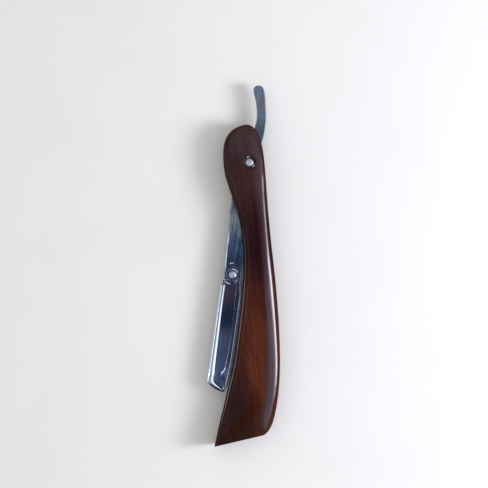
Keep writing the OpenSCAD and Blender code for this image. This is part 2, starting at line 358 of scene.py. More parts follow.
def newGroup(name, inputs, outputs):
    group = bpy.data.node_groups.new(name, "ShaderNodeTree")
    for label, value in inputs.items():
        kind = "NodeSocketVector" if isinstance(value, tuple) else "NodeSocketFloat"
        group.interface.new_socket(name=label, in_out="INPUT", socket_type=kind).default_value = value
    for label in outputs:
        group.interface.new_socket(name=label, in_out="OUTPUT", socket_type="NodeSocketFloat")
    return group, group.nodes.new("NodeGroupInput").outputs, group.nodes.new("NodeGroupOutput")


def makeStreakGroup():  # long fine marks along one way: grain, brushing, grinding
    group, given, sent = newGroup(
        "longStreaks", {"Turn": (0, 0, 0), "Across": 1000, "Along": 40, "Waver": 0.3}, ("Fine", "Broad"))
    turned = addNode(group, "ShaderNodeVectorRotate", {"rotation_type": "EULER_XYZ"},
                     {"Vector": objectPlace(group), "Rotation": given["Turn"]}).outputs[0]
    stretch = addNode(group, "ShaderNodeCombineXYZ", None,
                      {"X": given["Across"], "Y": given["Along"], "Z": given["Across"]}).outputs[0]
    scaled = vectorSum(group, "MULTIPLY", turned, stretch)
    wider = vectorSum(group, "MULTIPLY", scaled, (0.21, 0.21, 0.21))
    fine = noise(group, scaled, 1.0, 5.0, 0.6, given["Waver"])
    broad = noise(group, wider, 1.0, 3.0, 0.5, given["Waver"])
    feed(group, sent, {"Fine": spread(group, fine, 0.3, 0.7), "Broad": spread(group, broad, 0.35, 0.65)})
    return group


def makeHandlingGroup():  # soft smudges and tiny specks from being handled
    group, given, sent = newGroup("handling", {"Size": 120}, ("Smudge", "Speck"))
    place = objectPlace(group)
    cloud = noise(group, place, given["Size"], 4.0, 0.55)
    dots = noise(group, place, times(group, given["Size"], 24), 1.0)
    feed(group, sent, {"Smudge": spread(group, cloud, 0.42, 0.68), "Speck": spread(group, dots, 0.66, 0.74)})
    return group


def makeWearGroup():  # rubbed edges, from the rim value that each piece carries
    group, given, sent = newGroup("rubbedEdges", {"Amount": 1, "Size": 700}, ("Rub",))
    patch = noise(group, objectPlace(group), given["Size"], 3.0)
    feed(group, sent, {"Rub": times(group, readAttribute(group, "rim"), spread(group, patch, 0.35, 0.7),
                                    given["Amount"])})
    return group


streakGroup = makeStreakGroup()
handlingGroup = makeHandlingGroup()
wearGroup = makeWearGroup()


def useGroup(tree, group, inputs):
    return addNode(tree, "ShaderNodeGroup", {"node_tree": group}, inputs).outputs


def streaks(tree, turn, across, along, waver):
    return useGroup(tree, streakGroup, {"Turn": turn, "Across": across, "Along": along, "Waver": waver})


# Materials

def newMaterial(name):
    material = bpy.data.materials.new(name)
    material.use_nodes = True
    tree = material.node_tree
    tree.nodes.clear()
    shader = addNode(tree, "ShaderNodeBsdfPrincipled")
    addNode(tree, "ShaderNodeOutputMaterial", None, {"Surface": shader.outputs[0]})
    return material, tree, shader


def gleamArc(tree, place, centre, radius, half, facing, reach):  # a mask for a short painted highlight arc
    flat = vectorSum(tree, "MULTIPLY", vectorSum(tree, "SUBTRACT", place, (centre.x, centre.y, 0)), (1, 1, 0))
    far = vectorSum(tree, "LENGTH", flat, out="Value")
    middle = (cos(radians(facing)), sin(radians(facing)), 0)
    along = vectorSum(tree, "DOT_PRODUCT", vectorSum(tree, "NORMALIZE", flat), middle, "Value")
    off = sums(tree, "ABSOLUTE", sums(tree, "SUBTRACT", far, radius * mm))
    ends = spread(tree, along, cos(radians(reach * 1.5)), cos(radians(reach * 0.7)))
    return times(tree, spread(tree, off, half * mm, half * 0.45 * mm), ends)


woodLook = {
    "along": (  # ground, butt to crown
        (-0.078, "#372018"), (-0.060, "#31160a"), (-0.034, "#37180d"), (-0.010, "#3e1c14"),
        (0.004, "#250e0c"), (0.020, "#2c1312"), (0.034, "#3b2523"), (0.046, "#352020"), (0.060, "#3c2926")),
    "warm": "#66331f", "pore": "#120705", "paintedGlint": "#b3a2a8", "grainTurn": -4, "strokeTurn": -24,
    "grain": (420, 16, 0.35), "pores": (5200, 260, 0.1), "strokes": (1500, 150, 0.4),  # across, along, waver
    "smudgeSize": 70, "warmth": 0.24, "figure": 0.48, "bump": 0.12,
    "belly": ((-0.066, -0.040), (-0.002, -0.026)),  # where the wood is warm, in Y
    "inner": ((0.013, 0.004), (-0.005, 0.003)),  # and in X
    "butt": (-0.040, -0.062), "lower": (-0.012, -0.034), "across": (-0.004, 0.011),
    # painted shade darkens the front side near the butt, and painted sheen lightens the back side of the
    # lower half
    "frontPaintedShade": 0.72, "backPaintedSheen": 1.85,
    # painted highlight: a pale glint colour in broken patches on the front round-over, over part of the
    # length
    "glintFront": ((0.60, 0.67), (0.80, 0.70)), "glintLength": ((0.026, -0.045), (-0.073, -0.052)),
    "glintBreakup": (0.36, 0.62, 0.35, 0.62), "glintNoiseSize": 150.0,
    "gloss": 0.045, "bareCoat": 0.06,
}


def makeLacqueredWood(name, look, shade=1.0, lacquered=True):
    material, tree, shader = newMaterial(name)
    place = objectPlace(tree)
    where = splitPlace(tree, place)
    grainWay, strokeWay = (0, 0, radians(look["grainTurn"])), (0, 0, radians(look["strokeTurn"]))
    grain = streaks(tree, grainWay, *look["grain"])
    pores = streaks(tree, grainWay, *look["pores"])
    strokes = streaks(tree, strokeWay, *look["strokes"])
    smudge = useGroup(tree, handlingGroup, {"Size": look["smudgeSize"]})["Smudge"]
    middle = times(tree, window(tree, where["Y"], *look["belly"]), window(tree, where["X"], *look["inner"]))
    warmth = times(tree, middle, spread(tree, grain["Broad"], 0, 1, 0.0, look["warmth"]))
    ground = blendColour(tree, warmth, readRow(tree, where["Y"], look["along"]), paint(look["warm"]))
    figure = times(tree, strokes["Fine"], strokes["Broad"], middle, look["figure"])
    ground = blendColour(tree, figure, ground, paint(look["warm"]))
    # painted shade on the front side near the butt, painted sheen on the back side lower down
    frontPaintedShade = spread(tree, spread(tree, where["Y"], *look["butt"]), 0, 1, 1, look["frontPaintedShade"])
    backPaintedSheen = spread(tree, spread(tree, where["Y"], *look["lower"]), 0, 1, 1, look["backPaintedSheen"])
    # grain lines, times the painted shade and sheen across the handle
    grainAndPaintedLight = times(tree, spread(tree, grain["Fine"], 0.1, 0.9, 0.86 * shade, 1.1 * shade),
                  spread(tree, grain["Broad"], 0, 1, 0.88, 1.08),
                  spread(tree, where["X"], *look["across"], frontPaintedShade, backPaintedSheen, smooth=False))
    ground = shadeBy(tree, ground, grainAndPaintedLight)
    ground = blendColour(tree, spread(tree, pores["Fine"], 0.25, 0.02, 0, 0.5), ground, paint(look["pore"]))
    front = readAttribute(tree, "front")
    glintNoise = noise(tree, place, look["glintNoiseSize"], 2.0)
    # painted highlight along the front round-over, broken into patches
    edge = times(tree, window(tree, front, *look["glintFront"]), window(tree, where["Y"], *look["glintLength"]),
                 spread(tree, glintNoise, *look["glintBreakup"]))
    ground = blendColour(tree, edge, ground, paint(look["paintedGlint"]))
    coat = look["bareCoat"]
    if lacquered:  # thinner on the sides, rubbed dull along the front
        coat = spread(tree, readAttribute(tree, "flank"), 0.23, 0.37, spread(tree, front, 0.08, 0.2, 1, 0.35),
                      spread(tree, front, 0.3, 0.6, 0.06, 0.17))
    height = sums(tree, "ADD", pores["Fine"], times(tree, grain["Broad"], 2.0))
    feed(tree, shader, {
        "Base Color": ground, "Roughness": spread(tree, smudge, 0, 1, 0.34, 0.44), "Coat Weight": coat,
        "Coat Roughness": look["gloss"], "Coat IOR": 1.45, "Specular IOR Level": 0.0,
        "Normal": bumpFrom(tree, height, look["bump"], 0.00006)})
    return material


def makeBrushedSteel(name, look):
    material, tree, shader = newMaterial(name)
    place = objectPlace(tree)
    marks = streaks(tree, *look["marks"])
    handled = useGroup(tree, handlingGroup, {"Size": look["smudgeSize"]})
    smudge = handled["Smudge"]
    rub = useGroup(tree, wearGroup, {"Amount": look["wear"], "Size": 900})["Rub"]
    # the pale colour of worn edges, also used for the painted highlights
    light, wearAndGleamColour = paint(look["light"]), paint(look["edge"])
    tone = blendColour(tree, marks["Broad"], paint(look["dark"]), light)
    tone = blendColour(tree, times(tree, marks["Fine"], 0.35), tone, light)
    tone = blendColour(tree, times(tree, smudge, 0.3), tone, paint(look["haze"]))
    rough = spread(tree, marks["Fine"], 0, 1, look["smooth"], look["rough"])
    if "paintedLightAndShade" in look:  # painted light and shade along the tang, darker towards the holder; smoother and more streaked there, calm on the tail
        height = splitPlace(tree, place)["Y"]
        side = (armWay.y / armWay.length, -armWay.x / armWay.length, 0)
        across = sums(tree, "SUBTRACT", vectorSum(tree, "DOT_PRODUCT", place, side, "Value"),
                      rivetAt.x * side[0] + rivetAt.y * side[1])
        # brushing streaks, with painted shade on the spine side and painted light on the front side
        streak = times(tree, spread(tree, marks["Fine"], 0, 1, *look["streak"], smooth=False),
                       spread(tree, across, -0.003, 0.003, *look["sides"]),
                       spread(tree, smudge, 0, 1, 1.12, 0.66))
        streak = spread(tree, spread(tree, height, 0.024, 0.034), 0, 1, streak, 1.0)
        tone = blendColour(tree, 1.0, tone, readRow(tree, height, look["paintedLightAndShade"]), "MULTIPLY")
        tone = shadeBy(tree, tone, streak)
        rough = times(tree, rough, spread(tree, height, 0.002, 0.024, look["polishAndSheen"], 1))
        rub = times(tree, rub, spread(tree, height, 0.026, 0.036, 1, 0.1))
    tone = blendColour(tree, rub, tone, wearAndGleamColour)
    rough = sums(tree, "ADD", rough, times(tree, smudge, look["smudge"]))
    rough = sums(tree, "SUBTRACT", rough, times(tree, rub, 0.08))
    # painted highlights: the sheen value along some edges and the listed arcs make the colour pale, rough and
    # less metallic, so they look lit from any side
    gleam = times(tree, readAttribute(tree, "polishAndSheen"), spread(tree, smudge, 0, 1, 1, 0.65))
    for strength, *arc in look.get("gleams", ()):
        gleam = sums(tree, "MAXIMUM", gleam, times(tree, gleamArc(tree, place, *arc), strength))
    height = sums(tree, "ADD", marks["Fine"], handled["Speck"])
    feed(tree, shader, {
        "Base Color": blendColour(tree, gleam, tone, wearAndGleamColour),
        "Roughness": sums(tree, "MAXIMUM", rough, times(tree, gleam, 0.5)),
        "Metallic": spread(tree, gleam, 0, 1, 1.0, 0.25),
        "Normal": bumpFrom(tree, height, look["bump"], 0.00002)})
    return material


armLook = (0, 0, -armTurn)
holderLook = (0, 0, -holderTurn)
# Marks: turn, across, along, waver. Gleams are painted highlight arcs: strength, centre, radius, half width,
# facing, reach
tangLook = {
    "marks": (armLook, 3200, 45, 0.06), "smudgeSize": 160, "wear": 0.8,
    "dark": "#70777f", "light": "#787f88", "haze": "#6c727a", "edge": "#dfe4ea",
    "smooth": 0.28, "rough": 0.38, "smudge": 0.03, "bump": 0.10, "polishAndSheen": 0.62,
    "streak": (0.55, 1.7), "sides": (0.85, 1.12),  # tone of the brushing, and painted shade on the spine side and painted light on the front side
    # painted light and shade along the tang: colour factors by height
    "paintedLightAndShade": ((-0.010, (0.50, 0.68, 0.86)), (0.003, (0.46, 0.64, 0.77)), (0.010, (1.05, 1.27, 1.5)),
             (0.0186, (1.80, 1.66, 1.26)), (0.036, (1.10, 1.20, 1.12)), (0.0578, (0.77, 0.84, 0.73)),
             (0.0641, (1.36, 1.47, 1.36)), (0.0705, (1.45, 1.38, 1.11)), (0.0748, (1.33, 1.57, 1.53))),
    # painted highlight arcs round the rivet, on the shank and on its washer
    "gleams": ((0.8, rivetAt, 5.0, 0.26, 95, 9), (0.9, rivetAt, 4.1, 0.24, 222, 8),
               (0.95, rivetAt, 2.42, 0.30, 60, 31)),
}
chromeLook = {
    "marks": (holderLook, 1500, 50, 0.4), "smudgeSize": 90, "wear": 0.5,
    "dark": "#b9bfca", "light": "#cdd3dd", "haze": "#a9b0be", "edge": "#f0f4fa",
    "smooth": 0.02, "rough": 0.05, "smudge": 0.04, "bump": 0.06,
    # a painted highlight arc on the ear's lower-left edge
    "gleams": ((0.9, rivetAt, 4.0, 0.22, 240, 12),),
}
bladeLook = {
    "marks": (holderLook, 140, 3000, 0.1), "smudgeSize": 130, "wear": 0.6,
    # painted shade: the blade's colour is darkened and tinted to the dark of the slot it lies in
    "dark": "#82797f", "light": "#9c9299", "haze": "#736c72", "edge": "#f2f5fa",
    "smooth": 0.14, "rough": 0.26, "smudge": 0.05, "bump": 0.2,
}
pinLook = {
    "marks": ((0, 0, 0.6), 900, 700, 0.8), "smudgeSize": 500, "wear": 0.6,
    "dark": "#b0aeab", "light": "#d4d1cc", "haze": "#989796", "edge": "#f1f2f4",
    "smooth": 0.34, "rough": 0.48, "smudge": 0.08, "bump": 0.6,
}
washerLook = {
    "marks": ((0, 0, 0.2), 1500, 900, 0.5), "smudgeSize": 420, "wear": 0.15,
    # painted shade: the pivot washers are darkened to the dark of the recess round the pin head
    "dark": "#352f2f", "light": "#463f3f", "haze": "#2b2626", "edge": "#f4eef4",
    "smooth": 0.24, "rough": 0.34, "smudge": 0.06, "bump": 0.3,
    # painted glints on the washer rims
    "gleams": ((0.95, pivotAt, 2.52, 0.30, 105, 11), (1.0, pivotAt, 2.42, 0.28, -38, 14),
               (0.2, pivotAt, 2.45, 0.30, 165, 26)),
}
brassLook = {
    "marks": ((0, 0, 0.4), 1200, 500, 0.4), "smudgeSize": 300, "wear": 0.5,
    "dark": "#a27d3c", "light": "#cfa95c", "haze": "#80602c", "edge": "#ecd292",
    "smooth": 0.28, "rough": 0.42, "smudge": 0.10, "bump": 0.3,
}

lacqueredWood = makeLacqueredWood("lacqueredWood", woodLook)
spacerWood = makeLacqueredWood("spacerWood", woodLook, shade=0.8, lacquered=False)
satinSteel = makeBrushedSteel("satinSteel", tangLook)
mirrorChrome = makeBrushedSteel("mirrorChrome", chromeLook)
bladeSteel = makeBrushedSteel("bladeSteel", bladeLook)
polishedPin = makeBrushedSteel("polishedPin", pinLook)
darkWasher = makeBrushedSteel("darkWasher", washerLook)
turnedBrass = makeBrushedSteel("turnedBrass", brassLook)
print("materials made")


# Handle scales

handle = {
    "width": 27.9, "crown": 16.2, "length": 136.95, "thick": 4.0, "slot": 1.55, "swell": 0.45, "sharp": 32,
    "roundWide": 3.95, "roundDeep": 2.9, "leastRound": 0.05, "innerBreak": 0.15,
    "ringSteps": 12, "acrossCuts": 12, "rowSteps": 5, "swellButt": 0.05, "swellCrown": 0.1,
    "bore": 1.22, "recess": 2.75, "recessDeep": 1.1, "recessLip": 0.18, "lipSlope": 1.4, "lipTop": 0.05,
    "stations": (  # share of the length from the crown, front edge, back edge
        (0, -0.04, -0.04), (0.01, -0.205, 0.07), (0.03, -0.32, 0.137), (0.06, -0.385, 0.187),
        (0.10, -0.40, 0.22), (0.15, -0.377, 0.244), (0.20, -0.305, 0.262), (0.24, -0.237, 0.276),
        (0.28, -0.172, 0.291), (0.33, -0.122, 0.314), (0.38, -0.098, 0.34), (0.43, -0.093, 0.368),
        (0.48, -0.10, 0.395), (0.54, -0.12, 0.422), (0.61, -0.158, 0.447), (0.68, -0.20, 0.463),
        (0.75, -0.253, 0.467), (0.82, -0.33, 0.45), (0.88, -0.397, 0.41), (0.93, -0.457, 0.348),
        (0.96, -0.49, 0.25), (0.97, -0.50, 0.10), (0.985, -0.515, -0.215), (1, -0.53, -0.53)),
    "frontRounds": ((0, 0.5), (0.1, 0.6), (0.3, 0.55), (0.5, 0.68), (0.9, 0.6), (1, 0.15)),
    "backRounds": ((0, 0.5), (0.12, 0.55), (0.2, 0.74), (0.3, 0.76), (0.42, 0.96), (0.54, 1.14),
                   (0.66, 0.86), (0.74, 0.72), (0.80, 0.67), (0.86, 0.68), (0.92, 0.58), (0.97, 0.25),
                   (1, 0.15)),
}


def scaleRow():  # the outline, up the front and down the back, with the share of the rim's radius
    h = handle

    def point(share, x, rounds):
        return x * h["width"], h["crown"] - share * h["length"], alongTable(rounds, share)

    row = [point(share, front, h["frontRounds"]) for share, front, back in reversed(h["stations"])]
    row += [point(share, back, h["backRounds"]) for share, front, back in h["stations"][1:]]
    return smoothRow(row, h["rowSteps"])[:-1]


def makeScale(name, side, replaced):
    h = handle
    row = scaleRow()
    plan = [Vector((p.x, p.y)) for p in row]
    ways = inwardWays(plan)
    count, crown = len(row), len(row) // 2
    crossing = [(plan[i] - plan[-i]).length / 2 for i in range(count)]
    wide = [h["roundWide"] * max(p.z, h["leastRound"]) for p in row]
    deep = [h["roundDeep"] * sqrt(min(max(p.z, h["leastRound"]), 1)) for p in row]

    def halfWidth(i):  # half of the scale's width at a point of the outline, steady near both ends
        along = max(i if i < crown else count - i, count * h["swellButt"])
        return crossing[round(min(along, crown - count * h["swellCrown"]))]

    halves = [halfWidth(i) for i in range(count)]

    def place(i, inset, drop):  # a point of a ring, lowered by the scale's gentle swell
        s = 1 - min(inset / halves[i], 1)
        spot = plan[i] + ways[i] * inset
        return Vector((spot.x, spot.y, h["thick"] - drop - h["swell"] * s * s))

    bm = bmesh.new()
    edge = h["innerBreak"]
    inner = startRing(bm, [(p.x + w.x * edge, p.y + w.y * edge, 0) for p, w in zip(plan, ways)])
    bmesh.ops.triangle_fill(bm, use_beauty=True, edges=ringEdges(bm, inner), normal=(0, 0, -1))
    ring = nextRing(bm, inner, [(p.x, p.y, edge) for p in plan])
    for k in range(h["ringSteps"] + 1):
        turn = radians(90 * k / h["ringSteps"])
        ring = nextRing(bm, ring, [place(i, wide[i] * (1 - cos(turn)), deep[i] * (1 - sin(turn)))
                                   for i in range(count)])
    front = [ring[crown - k] for k in range(1, crown)]
    back = [ring[(crown + k) % count] for k in range(1, crown)]
    column = front
    for cut in range(1, h["acrossCuts"] + 1):
        places = []
        for k, (a, b) in enumerate(zip(front, back), 1):
            spot = a.co.lerp(b.co, cut / h["acrossCuts"])
            flat = Vector((spot.x, spot.y))
            s = 1 - min(min((flat - p).length for p in plan) / halves[crown - k], 1)
            spot.z = h["thick"] - h["swell"] * s * s
            places.append(spot)
        column = nextRing(bm, column, places, closed=False)
    mergeClose(bm)
    bmesh.ops.holes_fill(bm, edges=[e for e in bm.edges if e.is_boundary], sides=0)
    top, seat, lip = h["thick"] + 1, h["thick"] - h["recessDeep"], h["recess"] + h["recessLip"]
    bm = carve(name, bm, turnProfile([
        (0, -1), (h["bore"], -1), (h["bore"], seat), (h["recess"], seat),
        (h["recess"], h["thick"] - h["lipSlope"] * h["recessLip"]), (lip, h["thick"] - h["lipTop"]),
        (lip, top), (0, top)]))
    lift = Matrix.Translation((0, 0, h["slot"] * mm))
    mesh = toMesh(name, bm, atPivot @ lift if side > 0 else atPivot @ turnedOver @ lift, h["sharp"])
    showPiece(name, mesh, lacqueredWood, "handle", replaced)


makeScale("scaleNear", 1, ["near_scale"])
makeScale("scaleFar", -1, ["far_scale"])


# Pins and washers

pins = {
    "bore": 1.2, "head": 1.6, "headHigh": 0.65, "headEdge": 0.08, "dent": 0.018, "dentFrom": 0.2,
    "pivotFlat": 0.72, "rivetFlat": 0.55, "pivotSeat": 4.8, "rivetSeat": 2.15,
    "washer": 2.65, "washerThick": 0.35, "play": 0.03, "lowEdge": 0.1, "highEdge": 0.12, "step": 0.7,
}


def makePin(name, place, seat, flat, body, replaced):
    p = pins
    edge, top = p["headEdge"], seat + p["headHigh"]
    turns = [radians(a) for a in range(9, 90, 9)]
    half = [(p["bore"], 0), (p["bore"], seat), (p["head"] - edge, seat), (p["head"], seat + edge)]
    half += [(p["head"] * cos(a), seat + p["headHigh"] * (flat + (1 - flat) * sin(a))) for a in turns]
    bm = turnProfile(half + [(0, top)])
    mirrorDown(bm)
    for vert in bm.verts:  # the hammer's shallow marks on both heads
        if abs(vert.co.z) - seat > p["dentFrom"]:
            x, y = vert.co.xy
            dent = p["dent"] * (sin(5.1 * x + 1.3) * cos(4.3 * y - 0.4) + sin(7.3 * y + 2.1))
            vert.co.z -= abs(dent) * (1 if vert.co.z > 0 else -1)
    showPiece(name, toMesh(name, bm, place), polishedPin, body, replaced)


def makeWasher(name, place, side, seat, finish, body, replaced):
    p = pins
    low, high = seat - p["washerThick"], seat
    hole, outer = p["bore"] + p["play"], p["washer"]
    bm = turnProfile([
        (hole, low), (outer - p["lowEdge"], low), (outer, low + p["lowEdge"]), (outer, high - p["highEdge"]),
        (outer - p["highEdge"], high), (p["bore"] + p["step"], high), (hole, high), (hole, low)])
    mesh = toMesh(name, bm, place if side > 0 else place @ turnedOver)
    showPiece(name, mesh, finish, body, replaced)


makePin("pivotPin", atPivot, pins["pivotSeat"], pins["pivotFlat"], "handle", ["pivot_pin"])
makePin("holderRivet", atHolder, pins["rivetSeat"], pins["rivetFlat"], "tang", ["holder_rivet"])
for side, word in ((1, "Near"), (-1, "Far")):
    low = word.lower()
    makeWasher("pivotWasher" + word, atPivot, side, pins["pivotSeat"], darkWasher, "handle",
               [low + "_pivot_washer"])
    makeWasher("rivetWasher" + word, atHolder, side, pins["rivetSeat"], satinSteel, "tang",
               [low + "_rivet_washer"])


# Tang: tail, shank and bed

tang = {
    "half": 1.1, "rimWide": 0.34, "rimDeep": 0.30, "rimSteps": 5, "rowSteps": 4,
    "reach": 48.3, "bore": 1.25, "rivetBore": 1.22, "polishAndSheen": 0.42, "polishFrom": -27, "polishFull": -33,
    "front": ((3.65, -48.3), (4.01, -38.64), (4.06, -28.98), (3.96, -16.9), (3.86, -4.83)),
    "tail": ((4.06, 7.33), (4.5, 12.65), (4.6, 17.32), (4.01, 21.98), (3.22, 25.97), (2.43, 29.3),
             (1.49, 31.8), (0.59, 32.97), (-0.69, 33.3), (-1.88, 33.03), (-2.72, 32.23), (-2.87, 30.97),
             (-2.38, 29.3), (-1.68, 27.64), (-0.89, 25.31), (-0.1, 21.98), (0.3, 18.65), (-0.1, 14.65),
             (-1.68, 10.99), (-4.16, 7.66), (-5.64, 3.33)),
    "spine": ((-5.94, -1.93), (-5.64, -9.66), (-5.35, -17.87), (-5.2, -23.18), (-4.8, -28.01),
              (-4.62, -33.33), (-4.48, -38.16), (-4.2, -43.47), (-3.95, -48.3)),
    "foot": ((-3.75, -51.2), (3.65, -51.2)),
    "bedHalf": 0.65, "bedRim": 0.12, "bedRimSteps": 3, "bedBack": -3.785, "bedWide": 8.685, "bedToe": -45.95,
    "bedHeel": (-3.785, -1.45), "bedFront": ((4.9, -4.7), (3.65, -1.45)),
    "toe": ((0, -0.3), (0.03, 0.02), (0.12, 0.3), (0.25, 0.56), (0.4, 0.8), (0.56, 0.95), (0.72, 1),
            (0.83, 0.86), (0.90, 0.5), (0.94, -0.1), (0.97, -1), (0.99, -2), (1, -3.2)),  # spine to lips
    "toeDrop": 3.6, "stud": 1.02, "studSteps": 32, "studAt": ((-2.385, -10.754), (-2.385, -38.146)),
}


def makeTang():
    t = tang
    outline = smoothRow(t["front"] + t["tail"] + t["spine"], t["rowSteps"]) + [Vector(p) for p in t["foot"]]
    holes = [circleRow(t["bore"], holeSteps), circleRow(t["rivetBore"], holeSteps, (0, -t["reach"]))]
    polishAndSheen = ((t["polishFull"], t["polishAndSheen"]), (t["polishFrom"], thinSlope))
    slopes = [alongTable(polishAndSheen, p.y) if p.x < 0 else thinSlope for p in outline]
    bm = raisePlate(outline, t["half"], t["rimWide"], t["rimDeep"], t["rimSteps"], holes, slopes)
    bm.transform(atHolder.inverted() @ atArm @ inMetres)
    bm.transform(Matrix.Diagonal((1 / mm, 1 / mm, 1 / mm, 1)))
    toe = [(t["bedBack"] + t["bedWide"] * x, t["bedToe"] - t["toeDrop"] * y) for x, y in t["toe"]]
    bed = [Vector(t["bedHeel"])] + smoothRow(toe, t["rowSteps"]) + [Vector(p) for p in t["bedFront"]]
    studs = [circleRow(t["stud"], t["studSteps"], at) for at in t["studAt"]]
    joinInto(bm, raisePlate(bed, t["bedHalf"], t["bedRim"], t["bedRim"], t["bedRimSteps"], studs))
    showPiece("tangSteel", toMesh("tangSteel", bm, atHolder), satinSteel, "tang", ["tang"])


makeTang()


# Blade cover

cover = {
    "sheet": 0.5, "high": 1.75, "toeDrop": 1.3, "rings": 13, "rowSteps": 6, "bore": 1.25, "sharp": 30,
    "ear": 3.5, "earStart": 0.12, "earSteps": 44, "neck": (-2.45, -2.5), "neckRise": 0.4, "capStep": 0.05,
    "brokenEdge": 0.07, "brokenFrom": 50,
    "foldSteps": (  # share of the way in, height
        (0, 0), (0.017, 0.28), (0.043, 0.47), (0.1, 0.69), (0.18, 0.90), (0.255, 1.09), (0.33, 1.25),
        (0.41, 1.37), (0.52, 1.49), (0.64, 1.585), (0.71, 1.625), (0.975, 1.742), (1, 1.75)),
    "lipSteps": (  # share, drop, and painted highlight: 1 along the edge, 2 along the bend
        (0, 0.290, 1), (0.03, 0.289, 1), (0.08, 0.288, 1), (0.10, 0.288, 0), (0.3, 0.284, 0),
        (0.45, 0.281, 0), (0.6, 0.278, 0), (0.755, 0.276, 0), (0.77, 0.275, 0), (0.86, 0.002, 2),
        (0.87, 0.001, 2), (0.9, 0, 0), (1, 0, 0)),
    "lipFade": ((-46.4, 0), (-45, 0.1), (-37, 1)),  # the lips run out flat at the toe
    "bendRings": (10, 11), "bendWide": ((-47, 0.0), (-46.4, 0.03), (-45.6, 0.06), (-44, 0.04), (-42.4, 0.015),
                                        (-36, 0.01), (-24, 0.0)),
    # strength of the painted highlight lines on the lip's edge and on the bend, by height
    "edgeShine": ((-50, 0.5), (-46, 0.9), (-41, 0.75), (-34, 0.7), (-28, 1), (-23.5, 0.8), (-20, 0.2),
                  (-10, 0.4), (-4, 0.5), (-1, 0.3)),
    "bendShine": ((-46.9, 0), (-46.4, 0.6), (-45.5, 1), (-44, 0.9), (-42.4, 0.8), (-38, 0.75), (-27, 0.65),
                  (-22, 0.12), (-15, 0.08), (-10, 0.45), (-5, 0.3)),
    "rim": (  # outer edge, edge of the flat side, and kind of rim: 0 fold, 1 toe, 2 lip, 3 plain ear
        (-4.65, -4.7, -2.6, -4.7, 0), (-4.65, -15, -2.55, -15, 0), (-4.65, -25, -2.33, -25, 0),
        (-4.65, -35, -2.12, -35, 0), (-4.65, -41, -1.95, -40.4, 0), (-4.65, -43.5, -1.7, -42.4, 0),
        (-4.65, -45.4, -1.4, -44.0, 0.2), (-4.45, -46.7, -1.2, -45.1, 0.5), (-3.82, -47.6, -1.02, -45.9, 0.8),
        (-2.65, -48.55, -0.75, -46.4, 1), (-1.2, -49.35, -0.1, -47.1, 1), (0.35, -49.9, 0.8, -47.8, 1.05),
        (1.65, -50.15, 1.8, -48.6, 1.25), (2.7, -50.05, 2.6, -49.1, 1.5), (3.35, -49.5, 2.95, -48.9, 1.8),
        (3.65, -48.3, 2.5, -47.3, 2), (3.75, -45.9, 0.7, -42.2, 2), (4.0, -42.45, 1.75, -40.2, 2),
        (4.28, -38.85, 2.15, -37.6, 2), (4.4, -34.5, 2.45, -34.0, 2), (4.4, -27, 2.8, -27, 2),
        (4.4, -23, 2.8, -23, 2), (4.4, -18, 2.45, -18, 2), (4.4, -10.5, 2.2, -10.5, 2),
        (4.25, -7, 2.1, -7.2, 2), (3.85, -4.9, 2.0, -5.2, 2), (3.6, -3.6, 2.3, -3.9, 2.1),
        (3.48, -3.0, 2.6, -3.2, 2.9), (3.4, -2.0, 2.95, -2.2, 3), (3.45, -0.9, 3.3, -1.0, 3)),
}


def rimShapes(k, at):  # share of the way in, height and shine of ring k for each kind of rim
    c = cover
    last = c["rings"] - 1
    turn = radians(90 * k / last)
    lipShare, lipDrop, worn = c["lipSteps"][k]
    if k in c["bendRings"]:  # the painted highlight line along the bend widens towards the toe
        lipShare += alongTable(c["bendWide"], at)
    edgeShine = alongTable(c["edgeShine"], at) if worn == 1 else 0
    lipShine = alongTable(c["bendShine"], at) if worn == 2 else edgeShine
    return ((*c["foldSteps"][k], 0), (1 - cos(turn), c["high"] - c["toeDrop"] * (1 - sin(turn)), 0),
            (lipShare, c["high"] - lipDrop * alongTable(c["lipFade"], at), lipShine),
            (k / last, c["high"], edgeShine))


